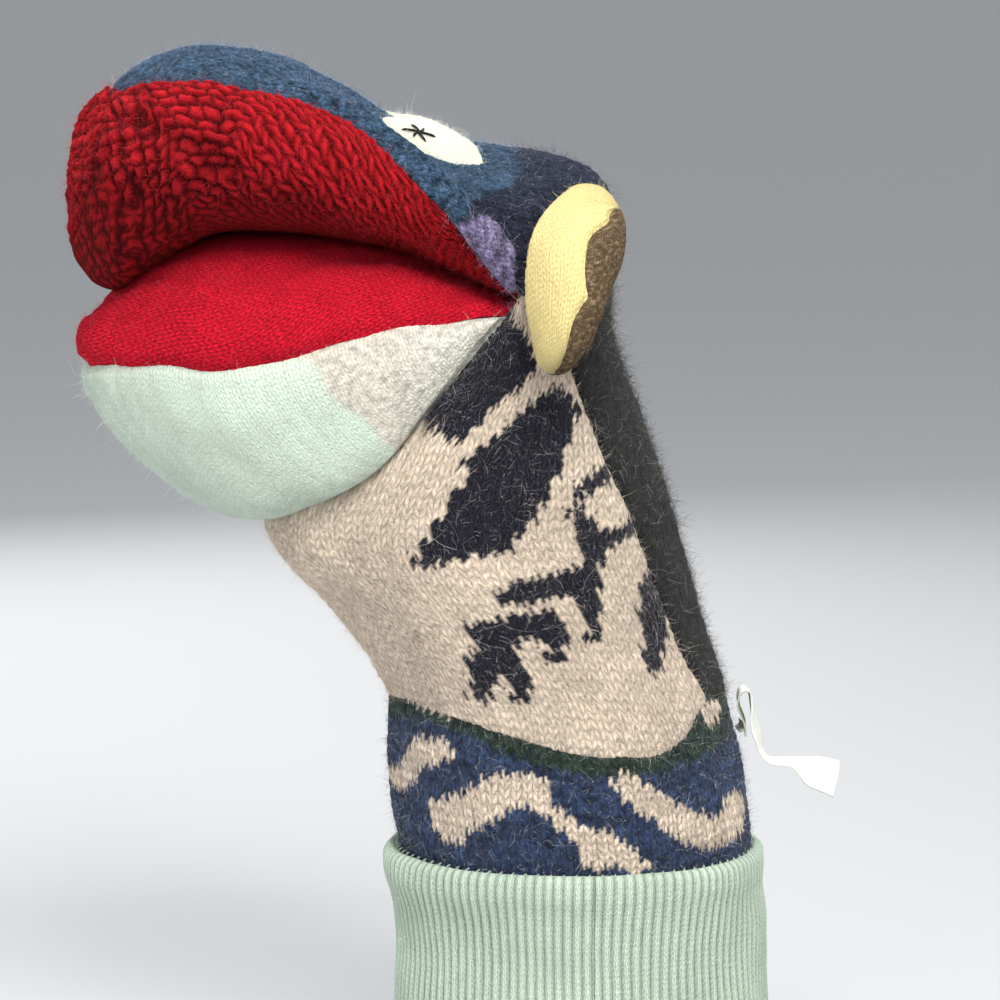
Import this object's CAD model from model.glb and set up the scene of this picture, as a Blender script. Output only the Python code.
"""Knitted hand puppet in felted wool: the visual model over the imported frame.

Lengths are millimetres until a mesh is made.
"""

import math

import bpy
import numpy as np
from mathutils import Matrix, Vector, noise


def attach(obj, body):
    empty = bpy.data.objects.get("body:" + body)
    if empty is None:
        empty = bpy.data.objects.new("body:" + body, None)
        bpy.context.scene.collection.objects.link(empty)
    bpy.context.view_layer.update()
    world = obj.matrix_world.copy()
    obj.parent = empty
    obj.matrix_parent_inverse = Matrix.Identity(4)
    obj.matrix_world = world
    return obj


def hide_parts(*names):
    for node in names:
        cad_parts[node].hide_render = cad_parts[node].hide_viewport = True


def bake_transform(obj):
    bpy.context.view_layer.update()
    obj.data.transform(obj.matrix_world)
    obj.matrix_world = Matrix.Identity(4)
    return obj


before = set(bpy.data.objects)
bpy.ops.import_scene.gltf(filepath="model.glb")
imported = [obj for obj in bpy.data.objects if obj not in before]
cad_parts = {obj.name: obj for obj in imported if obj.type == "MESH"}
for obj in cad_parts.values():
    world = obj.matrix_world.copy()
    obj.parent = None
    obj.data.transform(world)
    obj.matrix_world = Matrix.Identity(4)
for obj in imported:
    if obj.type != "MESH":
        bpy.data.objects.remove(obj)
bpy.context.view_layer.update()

MM = 0.001
FINE = 0.62  # spacing of the fabric meshes
FOLD = np.array([-19.0, 212.0])  # y, z of the mouth's fold line


# ---- camera, light, floor -------------------------------------------------------------------------------------------
def add(name, data):
    """New linked object with that data."""
    obj = bpy.data.objects.new(name, data)
    bpy.context.collection.objects.link(obj)
    return obj


def plain_material(name, colour, roughness):
    """Material of one tone, and its shader."""
    material = bpy.data.materials.new(name)
    material.use_nodes = True
    shader = material.node_tree.nodes["Principled BSDF"]
    shader.inputs["Base Color"].default_value = (*colour, 1)
    shader.inputs["Roughness"].default_value = roughness
    return material, shader


def look_at(obj, place, target):
    obj.location = place
    obj.rotation_euler = (Vector(target) - Vector(place)).to_track_quat("-Z", "Y").to_euler()


def studio():
    """Camera at the viewing angle, soft lights, pale floor."""
    azimuth, elevation, distance, width = math.radians(85), math.radians(7), 1.2, 0.260
    target, sensor = Vector((0, -0.020, 0.158)), 36
    level = math.cos(elevation)
    back = Vector((math.sin(azimuth) * level, -math.cos(azimuth) * level, math.sin(elevation)))
    camera = add("camera", bpy.data.cameras.new("camera"))
    camera.data.sensor_width = sensor
    camera.data.lens = sensor * distance / width
    camera.data.clip_start = 0.01
    look_at(camera, target + back * distance, target)
    bpy.context.scene.camera = camera

    for name, place, size, power, colour in (
        ("key", (0.80, 0.10, 0.95), 0.5, 14.5, (1.0, 0.985, 0.96)),
        ("fill", (0.95, -0.55, 0.35), 0.9, 5.5, (0.96, 0.98, 1.0)),
        ("top", (-0.15, 0.0, 1.15), 0.8, 5, (1.0, 1.0, 1.0)),
        ("far", (-0.95, -0.25, 0.6), 0.8, 5, (1.0, 0.99, 0.97)),
    ):
        light = add(name, bpy.data.lights.new(name, "AREA"))
        light.data.size, light.data.energy, light.data.color = size, power, colour
        look_at(light, place, (0, -0.02, 0.16))

    world = bpy.data.worlds.new("studio")
    world.use_nodes = True
    sky = world.node_tree.nodes["Background"].inputs
    sky["Color"].default_value, sky["Strength"].default_value = (0.86, 0.88, 0.9, 1), 0.62
    bpy.context.scene.world = world
    bpy.context.scene.view_settings.view_transform = "Standard"

    rings, spokes = (0.0, 0.5, 3.0, 45.0), 48
    turns = [2 * math.pi * i / spokes for i in range(spokes)]
    points = [(0, 0, 0)] + [(r * math.cos(t), r * math.sin(t), 0) for r in rings[1:] for t in turns]
    faces = [(0, 1 + i, 1 + (i + 1) % spokes) for i in range(spokes)]
    for k in range(len(rings) - 2):
        for i in range(spokes):
            j = (i + 1) % spokes
            faces.append((1 + k * spokes + i, 1 + (k + 1) * spokes + i, 1 + (k + 1) * spokes + j, 1 + k * spokes + j))
    mesh = bpy.data.meshes.new("floor")
    mesh.from_pydata(points, [], faces)
    mesh.materials.append(plain_material("paper", (0.52, 0.53, 0.545), 0.85)[0])
    add("floor", mesh)


studio()


# ---- numbers --------------------------------------------------------------------------------------------------------
def track(*rows):
    """Smooth curve through rows of (position, value, ...), as a function of an array of positions."""
    keys = np.array(rows, float)
    x, y = keys[:, 0], keys[:, 1:]
    step = np.diff(x)[:, None]
    slope = np.diff(y, axis=0) / step
    between = (slope[:-1] * step[1:] + slope[1:] * step[:-1]) / (step[1:] + step[:-1])
    tangent = np.vstack([slope[:1], between, slope[-1:]])

    def at(t):
        t = np.asarray(t, float)
        i = np.clip(np.searchsorted(x, t) - 1, 0, len(x) - 2)
        h = (x[i + 1] - x[i])[..., None]
        q = np.clip((t - x[i]) / (x[i + 1] - x[i]), 0, 1)[..., None]
        a, b, m, n = y[i], y[i + 1], tangent[i] * h, tangent[i + 1] * h
        return a + q * m + q * q * (3 * (b - a) - 2 * m - n) + q**3 * (2 * (a - b) + m + n)

    return at


def smooth(t):
    """Soft step from 0 to 1."""
    t = np.clip(t, 0, 1)
    return t * t * (3 - 2 * t)


def solve(f, low, high, rounds=26):
    """Zero of a rising function between two arrays, by halving."""
    low, high = np.array(low, float), np.array(high, float)
    for _ in range(rounds):
        middle = (low + high) / 2
        below = f(middle) < 0
        low, high = np.where(below, middle, low), np.where(below, high, middle)
    return (low + high) / 2


def lumps(points, scale, seed=0.0, octaves=2):
    """Soft noise from -1 to 1 at points in millimetres; scale is the size of a lump."""
    flat = points.reshape(-1, 3) / scale + seed
    return np.array([noise.fractal(Vector(p), 1.0, 2.0, octaves) for p in flat]).reshape(points.shape[:-1])


def hashed(i, j, seed=0):
    """Repeatable random number from 0 to 1 for each pair of whole numbers."""
    n = np.sin(i * 127.1 + j * 311.7 + seed * 74.7) * 43758.5453
    return n - np.floor(n)


def inside(y, z, outline):
    """Which points of the side view lie inside an outline."""
    found = np.zeros(np.shape(y), bool)
    for (ya, za), (yb, zb) in zip(outline, outline[1:] + outline[:1]):
        if za != zb:
            found ^= ((za > z) != (zb > z)) & (y < (yb - ya) * (z - za) / (zb - za) + ya)
    return found


def inside_any(y, z, outlines):
    return np.any([inside(y, z, outline) for outline in outlines], axis=0)


def power(value, exponent):
    """Power that keeps the sign."""
    return np.sign(value) * np.abs(value) ** exponent


def phase(x):
    """Place within each whole step, from -0.5 to 0.5."""
    return x - np.floor(x) - 0.5


def rounding(x):
    """Quarter-round drop from 1 at 0 to nothing at 1."""
    x = np.clip(x, 0, 1)
    return 1 - np.sqrt(x * (2 - x))


def run(grid, axis):
    """Length along the grid's lines so far: axis 0 goes down the rows and 1 across them."""
    steps = np.cumsum(np.linalg.norm(np.diff(grid, axis=axis), axis=-1), axis=axis)
    return np.insert(steps, 0, 0, axis=axis)


# ---- the shared shapes ----------------------------------------------------------------------------------------------
sleeve_track = track(
    (-20, -47.4, 88.6, 43.6, 78.6, 45.6),
    (0, -48.8, 108.4, 41.0, 98.5, 44.5),
    (24, -64.5, 132.0, 32.5, 127.0, 47.0),
    (46, -80.5, 153.5, 26.0, 150.0, 49.5),
    (70, -66.0, 180.0, 17.5, 178.0, 50.0),
    (94, -42.0, 205.0, 8.5, 205.0, 48.6),
    (111, -35.0, 221.0, 8.0, 222.0, 46.0),
    (124, -32.0, 236.0, 6.0, 236.0, 42.0),
)


def sleeve_point(s, a):
    """Outside of the sleeve at s along it and angle a round it; a is 90 degrees at the front and 0 on the left side."""
    front_y, front_z, back_y, back_z, half = np.moveaxis(sleeve_track(s), -1, 0)
    return np.stack(
        [
            half * np.cos(a),
            (front_y + back_y) / 2 + (front_y - back_y) / 2 * np.sin(a),
            (front_z + back_z) / 2 + (front_z - back_z) / 2 * np.sin(a),
        ],
        -1,
    )


throat_track = track((-88, 149), (-81, 154), (-66.5, 162), (-51.5, 172), (-39, 187), (-31.5, 198), (-24, 206.5),
                     (-19, 212.5),
                     (-8, 215.5), (8, 220), (30, 225))  # upper edge of the sleeve panels, by y
back_seam_track = track((92, 36), (112, 30), (128, 22), (155, 12), (176, 2), (200, -7), (226, -9))  # by z


def over_throat(s, a):
    """Height of a sleeve point above the throat's seam line."""
    p = sleeve_point(s, a)
    return p[..., 2] - throat_track(p[..., 1])[..., 0]


TOP_ANGLES = np.radians(np.linspace(-130, 310, 881))
sewn_at = solve(lambda s: over_throat(s, TOP_ANGLES), np.full(881, 6.0), np.full(881, 122.0))
SOFTENING = np.hanning(19) / np.hanning(19).sum()
sewn_at = np.convolve(np.pad(sewn_at, len(SOFTENING) // 2, mode="edge"), SOFTENING, mode="valid")


def sleeve_top(a):
    """Upper edge of the sleeve panels, as a place along them."""
    return np.interp(a, TOP_ANGLES, sewn_at)


def sleeve_hem(a):
    """Lower edge of the sleeve panels: it dips at the sides."""
    dip = track((-1, -7), (-0.8, -6.5), (-0.71, -2.5), (-0.6, 1.6), (-0.44, 4.4), (-0.27, 5.4), (-0.06, 5.6),
                (0.14, 5.2), (0.34, 4.0),
                (0.51, 2.4), (0.71, 0.6), (0.92, 0.0), (1, 1))
    return -dip(np.sin(a))[..., 0]


def back_seam_angle(s):
    """Angle where the side seam lies at s."""
    def gap(a):
        p = sleeve_point(s, a)
        return back_seam_track(p[..., 2])[..., 0] - p[..., 1]

    return solve(gap, np.full(np.shape(s), -math.pi / 2), np.zeros(np.shape(s)))


# Upper jaw and head: rows of (q, base y, plane angle, top, middle, bottom, half width, boxiness below, rim), where q is
# y as far as the fold and the top's length after it. Top, middle, bottom and rim are above the base in the row's plane.
head_track = track(
    (-131.2, -131.2, 90, 26.05, 26.0, 25.95, 0.05, 2.0, 60.0),
    (-130.8, -130.8, 90, 32.0, 26.0, 20.0, 6.5, 2.0, 59.0),
    (-129.4, -129.4, 90, 38.5, 26.5, 13.2, 14.5, 2.0, 58.0),
    (-126.2, -126.2, 90, 45.8, 27.5, 6.8, 25.0, 2.0, 57.0),
    (-120.0, -120.0, 90, 53.2, 29.5, 2.6, 36.0, 2.1, 53.2),
    (-111.0, -111.0, 90, 59.4, 33.5, 7.2, 43.5, 2.1, 54.6),
    (-97.0, -97.0, 90, 63.6, 38.0, 16.0, 49.8, 2.2, 55.4),
    (-76.0, -76.0, 90, 60.4, 37.0, 17.4, 52.0, 2.3, 52.0),
    (-60.0, -60.0, 90, 52.5, 33.5, 15.3, 52.0, 2.4, 44.8),
    (-47.0, -47.0, 90, 45.2, 28.5, 12.6, 51.0, 2.6, 34.5),
    (-37.0, -37.0, 90, 41.0, 24.5, 8.0, 50.0, 3.0, 22.5),
    (-28.0, -28.0, 90, 39.0, 21.5, 4.4, 49.0, 3.6, 11.5),
    (-19.0, -19.0, 90, 38.0, 18.5, 0.6, 48.0, 4.6, 2.6),
    (-8.0, -19.0, 70, 38.0, 16.0, -4.0, 47.8, 3.6, 1.6),
    (4.0, -19.0, 48, 37.6, 12.0, -10.0, 47.2, 2.6, 1.0),
    (13.0, -19.0, 30, 32.5, 8.5, -14.5, 46.6, 2.1, 0.8),
    (20.0, -19.0, 15.5, 28.2, 5.8, -16.6, 46.2, 2.0, 0.6),
)
HEAD_FRONT, HEAD_BACK, SNOUT_TIP = -120.0, 20.0, -131.2


def head_point(q, b):
    """Outside of the head at q and angle b round its row: 90 degrees is the crown and 0 the widest, on the left."""
    base, tilt, top, middle, bottom, half, box, _ = np.moveaxis(head_track(q), -1, 0)
    low = np.sin(b) < 0
    reach = np.where(low, middle - bottom, top - middle)
    shape = 2 / np.where(low, box, 2.0)
    flank = np.clip(np.sin(2 * np.clip(b, 0, math.pi)) * np.sign(np.cos(b)), 0, 1)
    brow = 1 - 0.10 * np.exp(-(((q + 40) / 16) ** 2)) * flank
    up = middle + reach * power(np.sin(b), np.where(low, shape, 1.0)) * np.where(low, 1, brow)
    tilt = np.radians(tilt)
    return np.stack([half * power(np.cos(b), shape), base + up * np.cos(tilt), FOLD[1] + up * np.sin(tilt)], -1)


def head_rim(q):
    """Angle b of the upper jaw's rim seam."""
    _, _, top, middle, bottom, _, box, rim = np.moveaxis(head_track(q), -1, 0)
    high = np.arcsin(np.clip((rim - middle) / (top - middle), -1, 1))
    low = -np.arcsin(np.clip((middle - rim) / (middle - bottom), 0, 1) ** (box / 2))
    return np.where(rim > middle, high, low)


# Lower jaw: rows of (y, top, middle, bottom, half width, boxiness above, boxiness below, rim height).
jaw_track = track(
    (-128.8, 195.55, 195.5, 195.45, 0.05, 2.0, 2.0, 195.5),
    (-128.0, 200.6, 195.6, 191.0, 7.0, 2.0, 2.0, 195.3),
    (-124.5, 206.6, 196.2, 184.8, 19.0, 2.0, 2.0, 195.6),
    (-118.0, 212.6, 197.5, 177.0, 29.5, 2.0, 2.0, 197.2),
    (-108.0, 220.2, 199.0, 168.2, 39.5, 2.1, 2.0, 198.6),
    (-96.0, 225.2, 199.5, 160.6, 46.5, 2.2, 2.0, 197.4),
    (-80.0, 226.4, 199.5, 155.4, 50.2, 2.3, 2.0, 200.0),
    (-64.0, 225.4, 200.5, 157.6, 51.0, 2.4, 2.0, 205.4),
    (-48.0, 222.6, 201.5, 166.0, 50.4, 2.6, 2.0, 208.2),
    (-34.0, 217.6, 202.5, 177.5, 49.0, 3.2, 2.0, 209.6),
    (-26.0, 214.6, 203.0, 186.0, 48.2, 4.0, 2.0, 210.6),
    (-19.0, 211.9, 203.0, 192.0, 47.5, 5.0, 2.0, 211.0),
)
JAW_TIP = -128.8


def jaw_point(y, b):
    """Outside of the lower jaw at y and angle b round its row."""
    top, middle, bottom, half, box_up, box_down, _ = np.moveaxis(jaw_track(y), -1, 0)
    low = np.sin(b) < 0
    shape = 2 / np.where(low, box_down, box_up)
    reach = np.where(low, middle - bottom, top - middle)
    return np.stack([half * power(np.cos(b), shape), y + 0 * b, middle + reach * power(np.sin(b), shape)], -1)


def jaw_rim(y):
    """Angle b of the lower jaw's rim seam."""
    top, middle, bottom, _, box_up, box_down, rim = np.moveaxis(jaw_track(y), -1, 0)
    high = np.arcsin(np.clip((rim - middle) / (top - middle), 0, 1) ** (box_up / 2))
    low = -np.arcsin(np.clip((middle - rim) / (middle - bottom), 0, 1) ** (box_down / 2))
    return np.where(rim > middle, high, low)


def jaw_level(p):
    """Below 0 inside the lower jaw's outside surface and above 0 outside it."""
    top, middle, bottom, half, box_up, box_down, _ = np.moveaxis(jaw_track(p[..., 1]), -1, 0)
    low = p[..., 2] < middle
    box = np.where(low, box_down, box_up)
    reach = np.where(low, middle - bottom, top - middle)
    level = (np.abs(p[..., 0]) / half) ** box + (np.abs(p[..., 2] - middle) / reach) ** box - 1
    return level + np.clip(JAW_TIP - p[..., 1], 0, None)


def jaw_ray(t, turn):
    """Outside of the lower jaw in direction t across and turn below level, seen from the middle of the fold line."""
    way = np.stack([np.cos(t), -np.sin(t) * np.cos(turn), -np.sin(t) * np.sin(turn)], -1)
    start = np.array([0, FOLD[0], FOLD[1] - 1.5])
    near, far = np.full(np.shape(t), 5.0), np.full(np.shape(t), 135.0)
    reach = solve(lambda k: jaw_level(start + way * k[..., None]), near, far)
    return start + way * reach[..., None]


# ---- meshes ---------------------------------------------------------------------------------------------------------
def grid_normals(grid, outward):
    """Unit normals of a grid, turned to the side that outward says."""
    across, along = np.gradient(grid, axis=1), np.gradient(grid, axis=0)
    n = np.cross(across, along)
    size = np.linalg.norm(n, axis=-1, keepdims=True)
    n = n / np.maximum(size, 1e-9)
    for row in range(n.shape[0]):
        if size[row].max() < 1e-6:
            near = n[1 if row == 0 else row - 1].mean(0)
            n[row] = near / np.linalg.norm(near)
    sign = np.sign(np.nanmean((n * (grid - outward)).sum(-1)))
    return n * sign


def stitch_height(u, v, wale, course):
    """Height, 0 to 1, of stocking stitch at fabric coordinates."""
    across = np.abs(phase(u / wale))
    leg = 1 - ((across - 0.25) * 4) ** 2
    strand = phase(v / course + across * 1.5) * 2
    return np.sqrt(np.clip(leg, 0, 1)) * (1 - 0.75 * strand**2)


def stitch_middle(u, v, wale, course):
    """Middle of the stitch at each place, so that colours change between whole stitches."""
    zig = np.abs(phase(u / wale)) * 1.5
    return (np.floor(u / wale) + 0.5) * wale, (np.floor(v / course + zig) + 0.5 - zig) * course


def quad_mesh(name, points, quads):
    """Mesh of four-sided faces."""
    mesh = bpy.data.meshes.new(name)
    mesh.vertices.add(points.size // 3)
    mesh.vertices.foreach_set("co", (points * MM).astype(np.float32).ravel())
    mesh.loops.add(quads.size)
    mesh.loops.foreach_set("vertex_index", quads.astype(np.int32).ravel())
    mesh.polygons.add(len(quads))
    mesh.polygons.foreach_set("loop_start", np.arange(0, quads.size, 4, dtype=np.int32))
    mesh.update(calc_edges=True)
    return mesh


def paint(mesh, uvs, tint, pile):
    """Fabric coordinates of a mesh's corners, and the colours and pile depths of its points."""
    uv = mesh.uv_layers.new(name="fabric")
    uv.data.foreach_set("uv", (uvs * MM).astype(np.float32).ravel())
    rgba = np.ones((len(mesh.vertices), 4), np.float32)
    rgba[:, :3] = tint
    mesh.attributes.new("tint", "FLOAT_COLOR", "POINT").data.foreach_set("color", rgba.ravel())
    depth = np.broadcast_to(np.asarray(pile, np.float32).ravel(), len(rgba)).copy()
    mesh.attributes.new("pile", "FLOAT", "POINT").data.foreach_set("value", depth)


def mesh_piece(name, grid, fabric, tint, pile=1.0, closed=False, normals=None):
    """Object from a grid of points: fabric holds its UVs, and normals the side that its faces should look to."""
    rows, columns = grid.shape[:2]
    index = np.arange(rows * columns).reshape(rows, columns)
    if closed:
        index = np.concatenate([index, index[:, :1]], 1)
    quads = np.stack([index[:-1, :-1], index[:-1, 1:], index[1:, 1:], index[1:, :-1]], -1).reshape(-1, 4)
    if normals is not None and flip_needed(grid, normals):
        quads = quads[:, ::-1]
    mesh = quad_mesh(name, grid, quads)
    mesh.polygons.foreach_set("use_smooth", np.ones(len(quads), bool))
    paint(mesh, fabric.reshape(-1, 2)[quads.ravel()], np.broadcast_to(tint, grid.shape).reshape(-1, 3), pile)
    return add(name, mesh)


def flip_needed(grid, normals):
    """Whether the grid's own winding points against its normals."""
    n = np.cross(np.gradient(grid, axis=1), np.gradient(grid, axis=0))
    return (n * normals).sum() < 0


def face_outward(obj, grid, normals):
    """Turns a closed piece's faces out, judged on that stretch of its grid."""
    if flip_needed(grid, normals):
        obj.data.flip_normals()


def edge_tuck(rows, columns, across, along, width, depth):
    """How far a panel draws in near its sewn edges, for a grid of that size in millimetres."""
    u, v = np.linspace(0, 1, columns)[None, :], np.linspace(0, 1, rows)[:, None]
    near = np.minimum(np.minimum(u * across, (1 - u) * across), np.minimum(v * along, (1 - v) * along))
    return depth * rounding(near / width)


# ---- materials ------------------------------------------------------------------------------------------------------
class Nodes:
    """Short ways to add shader nodes to one material."""

    def __init__(self, name):
        self.material = bpy.data.materials.new(name)
        self.material.use_nodes = True
        self.tree = self.material.node_tree
        self.shader = self.tree.nodes["Principled BSDF"]

    def link(self, value, socket):
        if isinstance(value, bpy.types.NodeSocket):
            self.tree.links.new(value, socket)
        else:
            socket.default_value = value

    def math(self, operation, *values):
        node = self.tree.nodes.new("ShaderNodeMath")
        node.operation = operation
        for value, socket in zip(values, node.inputs):
            self.link(value, socket)
        return node.outputs[0]

    def noise(self, vector, scale, detail=2.0, rough=0.5):
        node = self.tree.nodes.new("ShaderNodeTexNoise")
        self.link(vector, node.inputs["Vector"])
        node.inputs["Scale"].default_value = scale
        node.inputs["Detail"].default_value = detail
        node.inputs["Roughness"].default_value = rough
        return node.outputs["Fac"]

    def attribute(self, name, output="Fac"):
        node = self.tree.nodes.new("ShaderNodeAttribute")
        node.attribute_name = name
        return node.outputs[output]

    def remap(self, value, low, high, to_low, to_high):
        node = self.tree.nodes.new("ShaderNodeMapRange")
        self.link(value, node.inputs["Value"])
        for key, number in (("From Min", low), ("From Max", high), ("To Min", to_low), ("To Max", to_high)):
            node.inputs[key].default_value = number
        return node.outputs["Result"]

    def tinted(self, colour, factor, kind="MULTIPLY", other=None):
        node = self.tree.nodes.new("ShaderNodeMix")
        node.data_type, node.blend_type = "RGBA", kind
        if other is None:
            node.inputs["Factor"].default_value = 1.0
            self.link(colour, node.inputs["A"])
            self.link(factor, node.inputs["B"])
        else:
            self.link(factor, node.inputs["Factor"])
            self.link(colour, node.inputs["A"])
            self.link(other, node.inputs["B"])
        return next(s for s in node.outputs if s.type == "RGBA")

    def fabric(self):
        node = self.tree.nodes.new("ShaderNodeUVMap")
        node.uv_map = "fabric"
        return node.outputs["UV"]

    def bump(self, height, distance, normal=None, strength=1.0):
        node = self.tree.nodes.new("ShaderNodeBump")
        node.inputs["Strength"].default_value = strength
        node.inputs["Distance"].default_value = distance
        self.link(height, node.inputs["Height"])
        if normal is not None:
            self.link(normal, node.inputs["Normal"])
        return node.outputs["Normal"]


def wool(name, wale, course, depth, fuzz, heather, crevice, sheen, sheen_tint=(1, 1, 1), kind="stocking"):
    """Knitted wool: stitches and fuzz in the bump, the tint attribute as its colour, darker between the stitches."""
    n = Nodes(name)
    uv = n.fabric()
    split = n.tree.nodes.new("ShaderNodeSeparateXYZ")
    n.link(uv, split.inputs[0])
    wander = n.noise(uv, 0.16 / (wale * MM), 1.0)
    wander_2 = n.noise(uv, 0.55 / (wale * MM), 1.0)
    x = n.math("ADD", split.outputs[0], n.remap(wander, 0, 1, -0.7 * wale * MM, 0.7 * wale * MM))
    y = n.math("ADD", split.outputs[1], n.remap(wander_2, 0, 1, -0.6 * course * MM, 0.6 * course * MM))
    a = n.math("ABSOLUTE", n.math("SUBTRACT", n.math("FRACT", n.math("DIVIDE", x, wale * MM)), 0.5))
    leg_w = n.math("MULTIPLY", n.math("SUBTRACT", a, 0.25), 4.0)
    leg = n.math("SQRT", n.math("MAXIMUM", n.math("SUBTRACT", 1.0, n.math("MULTIPLY", leg_w, leg_w)), 0.0))
    along = n.math("ADD", n.math("DIVIDE", y, course * MM), n.math("MULTIPLY", a, 1.5))
    strand = n.math("MULTIPLY", n.math("SUBTRACT", n.math("FRACT", along), 0.5), 2.0)
    hump = n.math("SUBTRACT", 1.0, n.math("MULTIPLY", n.math("MULTIPLY", strand, strand), 0.8))
    height = n.math("MULTIPLY", leg, hump)
    if kind == "rib":
        ridge = n.math("ABSOLUTE", n.math("SINE", n.math("MULTIPLY", x, math.pi / (2 * wale * MM))))
        height = n.math("ADD", n.math("MULTIPLY", height, 0.35), n.math("MULTIPLY", n.math("POWER", ridge, 0.7), 0.75))
    if kind == "none":
        height = n.noise(uv, 600, 2.0)
    tuft = n.noise(uv, 900, 4.0, 0.7)
    strands = n.noise(uv, 2600, 3.0, 0.6)
    tint = n.attribute("tint", "Color")
    flecks = n.math("ADD", n.math("MULTIPLY", tuft, 0.6), n.math("MULTIPLY", strands, 0.4))
    flecks = n.remap(flecks, 0.3, 0.7, 1 - heather, 1 + heather)
    shade = n.math("MULTIPLY", n.remap(height, 0.0, 0.8, 1 - crevice, 1.0), flecks)
    shade = n.math("MULTIPLY", shade, n.remap(n.attribute("pile"), 0.0, 1.0, 0.62, 1.0))
    shade = n.math("MULTIPLY", shade, n.remap(n.noise(uv, 45, 2.0), 0.3, 0.7, 0.93, 1.07))
    n.link(n.tinted(tint, shade), n.shader.inputs["Base Color"])
    tufted = n.bump(tuft, 0.0005 * fuzz, n.bump(height, depth * MM))
    n.link(n.bump(strands, 0.00016 * fuzz * 2, tufted), n.shader.inputs["Normal"])
    for key, value in (("Roughness", 0.92), ("Specular IOR Level", 0.05), ("Sheen Weight", sheen),
                       ("Sheen Roughness", 0.45), ("Sheen Tint", (*sheen_tint, 1))):
        n.shader.inputs[key].default_value = value
    return n.material


def finish(obj, material, slot, *nodes):
    obj.data.materials.append(material)
    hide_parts(*nodes)
    return obj


# Colours, linear.
OATMEAL = np.array([0.78, 0.64, 0.50])
NAVY = np.array([0.007, 0.0075, 0.017])
CHARCOAL = np.array([0.021, 0.021, 0.020])
BLUE = np.array([0.044, 0.082, 0.140])
HEAD_NAVY = np.array([0.022, 0.022, 0.040])
LAVENDER = np.array([0.26, 0.22, 0.38])
DARK_RED = np.array([0.40, 0.009, 0.015])
BRIGHT_RED = np.array([0.66, 0.0105, 0.031])
MINT = np.array([0.62, 0.72, 0.60])
GREY = np.array([0.60, 0.555, 0.47])
CUFF_MINT = np.array([0.50, 0.61, 0.49])
BAND_NAVY = np.array([0.028, 0.046, 0.098])
GREEN = np.array([0.026, 0.044, 0.030])
YELLOW = np.array([0.84, 0.69, 0.30])
TWEED = np.array([0.15, 0.095, 0.045])
WHITE = np.array([0.76, 0.75, 0.60])
JERSEY = np.array([0.42, 0.40, 0.38])
WADDING = np.array([0.82, 0.80, 0.76])


def mix(a, b, weight):
    return a + (b - a) * np.asarray(weight)[..., None]


def stitch_noise(u, v, wale, course, seed, amount):
    """Brightness that changes from stitch to stitch."""
    return 1 + amount * (hashed(np.floor(u / wale), np.floor(v / course), seed) - 0.5)[..., None]


# ---- loose fibres ---------------------------------------------------------------------------------------------------
FIBRE_COLOURS = {
    "pale": (0.80, 0.76, 0.70), "oat": (0.70, 0.58, 0.47), "navy": (0.055, 0.06, 0.11), "coal": (0.05, 0.05, 0.048),
    "blue": (0.09, 0.16, 0.28), "red": (0.42, 0.010, 0.018), "scarlet": (0.62, 0.02, 0.04), "mint": (0.66, 0.78, 0.68),
    "gold": (0.85, 0.72, 0.42), "brown": (0.25, 0.17, 0.10), "white": (0.88, 0.87, 0.80), "lilac": (0.36, 0.32, 0.52),
}
FIBRE_STEPS, FLOOR_CLEARANCE = 6, 0.2


def fibre_material(colour):
    name = f"{colour}_fibre"
    if name not in bpy.data.materials:
        _, shader = plain_material(name, FIBRE_COLOURS[colour], 0.8)
        shader.inputs["Specular IOR Level"].default_value = 0.1
        shader.inputs["Sheen Weight"].default_value = 0.3
    return bpy.data.materials[name]


def fibres(cloth, grid, normals, slot, carry, *kinds):
    """Loose fibres over a panel, one piece for each kind, which carry puts on its body.

    A kind is (number per square centimetre, colour, reach, lift, thickness, seed), then where it grows if not everywhere.
    """
    for kind in kinds:
        fibre_piece(cloth, grid, normals, slot, carry, *kind)


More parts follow.
